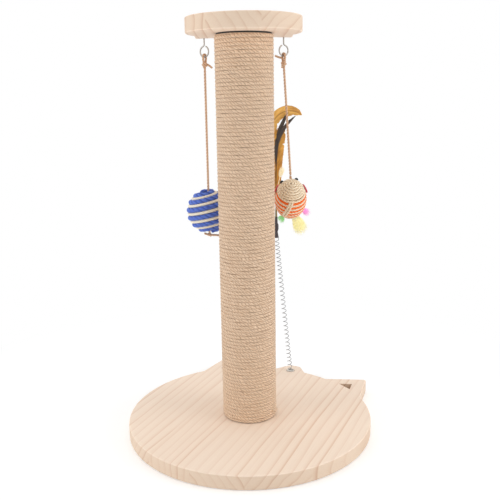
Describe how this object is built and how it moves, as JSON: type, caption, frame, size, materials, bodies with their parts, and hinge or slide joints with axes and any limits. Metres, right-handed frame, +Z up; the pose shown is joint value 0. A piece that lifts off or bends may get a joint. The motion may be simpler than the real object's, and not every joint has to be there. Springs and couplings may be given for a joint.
{
  "type": "cat scratcher",
  "caption": "Upright cat scratching post wound in jute on a cat-head base board, with an eared top board, hanging ball and mouse toys and a feather wand on a coil spring.",
  "frame": {"origin": "on the post's axis at the floor, under the base board", "axes": "+Z up along the post, +Y from the post towards the base's crown between its ears, +X to the right"},
  "size_m": [0.3, 0.313, 0.489],
  "materials": {
    "pine": "sanded bare pine",
    "jute": "twisted jute cord",
    "card": "plain wound card",
    "black_plastic": "moulded black",
    "steel": "bright steel",
    "spring_steel": "drawn wire",
    "twine": "twisted jute twine",
    "foam": "moulded core",
    "blue_rope": "dyed sisal rope",
    "cream_cord": "natural cord",
    "sisal": "natural sisal cord",
    "orange_cord": "dyed sisal cord",
    "bead": "polished black",
    "red_felt": "felt",
    "yellow_down": "dyed down",
    "pink_down": "dyed down",
    "green_down": "dyed down",
    "sleeve": "shrunk black sleeve",
    "golden_vane": "feather vane",
    "dark_vane": "feather vane",
    "pale_down": "loose down",
    "quill": "bare quills"
  },
  "bodies": {
    "stand": {"base_board": "pine", "base_bolt": "steel", "base_washer": "steel", "lower_end_cap": "black_plastic", "lower_nut": "steel", "core_tube": "card", "upper_end_cap": "black_plastic", "upper_nut": "steel", "top_stud": "steel", "top_board": "pine", "jute_wrap": "jute", "jute_top_turns": "jute", "jute_bottom_turns": "jute", "left_screw_eye": "steel", "right_screw_eye": "steel", "spring_cup": "steel", "spring_screw": "steel"},
    "left_hanger": {"left_loop": "twine"},
    "left_pendant": {"left_cord": "twine", "left_stop_knot": "twine"},
    "left_ball": {"ball_core": "foam", "ball_blue_rope": "blue_rope", "ball_cream_cord": "cream_cord"},
    "right_hanger": {"right_loop": "twine"},
    "right_pendant": {"right_cord": "twine"},
    "mouse": {"mouse_core": "foam", "mouse_sisal_winding": "sisal", "mouse_orange_winding": "orange_cord", "mouse_left_eye": "bead", "mouse_right_eye": "bead", "mouse_left_ear": "red_felt", "mouse_right_ear": "red_felt", "mouse_tie": "twine", "mouse_yellow_tuft": "yellow_down", "mouse_pink_tuft": "pink_down", "mouse_green_tuft": "green_down"},
    "wand_spring": {"toy_spring": "spring_steel"},
    "wand": {"wand_sleeve": "sleeve", "wand_quills": "quill", "golden_feather": "golden_vane", "amber_feather": "golden_vane", "dark_feather": "dark_vane", "slate_feather": "dark_vane", "down_feather": "pale_down"}
  },
  "joints": [
    {"name": "left_loop_swing", "type": "hinge", "parent": "stand", "child": "left_hanger", "pos_m": [-0.0681, 0.03485, 0.45035], "axis": [-0.9833, 0.1822, 0], "range_deg": [-12, 40]},
    {"name": "left_cord_swing", "type": "hinge", "parent": "left_hanger", "child": "left_pendant", "pos_m": [-0.0681, 0.03485, 0.44135], "axis": [-0.1822, -0.9833, 0], "range_deg": [-30, 3]},
    {"name": "ball_spin", "type": "hinge", "parent": "left_pendant", "child": "left_ball", "pos_m": [-0.0681, 0.03485, 0.2636], "axis": [0, 0, 1], "continuous": true},
    {"name": "right_loop_swing", "type": "hinge", "parent": "stand", "child": "right_hanger", "pos_m": [0.01838, 0.07426, 0.45035], "axis": [0.5807, 0.8141, 0], "range_deg": [-40, 3]},
    {"name": "right_cord_swing", "type": "hinge", "parent": "right_hanger", "child": "right_pendant", "pos_m": [0.01838, 0.07426, 0.44135], "axis": [-0.8141, 0.5807, 0], "range_deg": [-20, 1.5]},
    {"name": "mouse_spin", "type": "hinge", "parent": "right_pendant", "child": "mouse", "pos_m": [0.02566, 0.07758, 0.3067], "axis": [0, 0, 1], "continuous": true},
    {"name": "spring_sway", "type": "hinge", "parent": "stand", "child": "wand_spring", "pos_m": [-0.00262, 0.14281, 0.045], "axis": [0.91, 0.4147, 0], "range_deg": [-30, 3], "stiffness_Nm_per_rad": 0.15, "deforming": ["toy_spring"]},
    {"name": "wand_flick", "type": "hinge", "parent": "wand_spring", "child": "wand", "pos_m": [-0.01747, 0.13604, 0.2133], "axis": [-0.4147, 0.91, 0], "range_deg": [-10, 12], "stiffness_Nm_per_rad": 0.08}
  ]
}
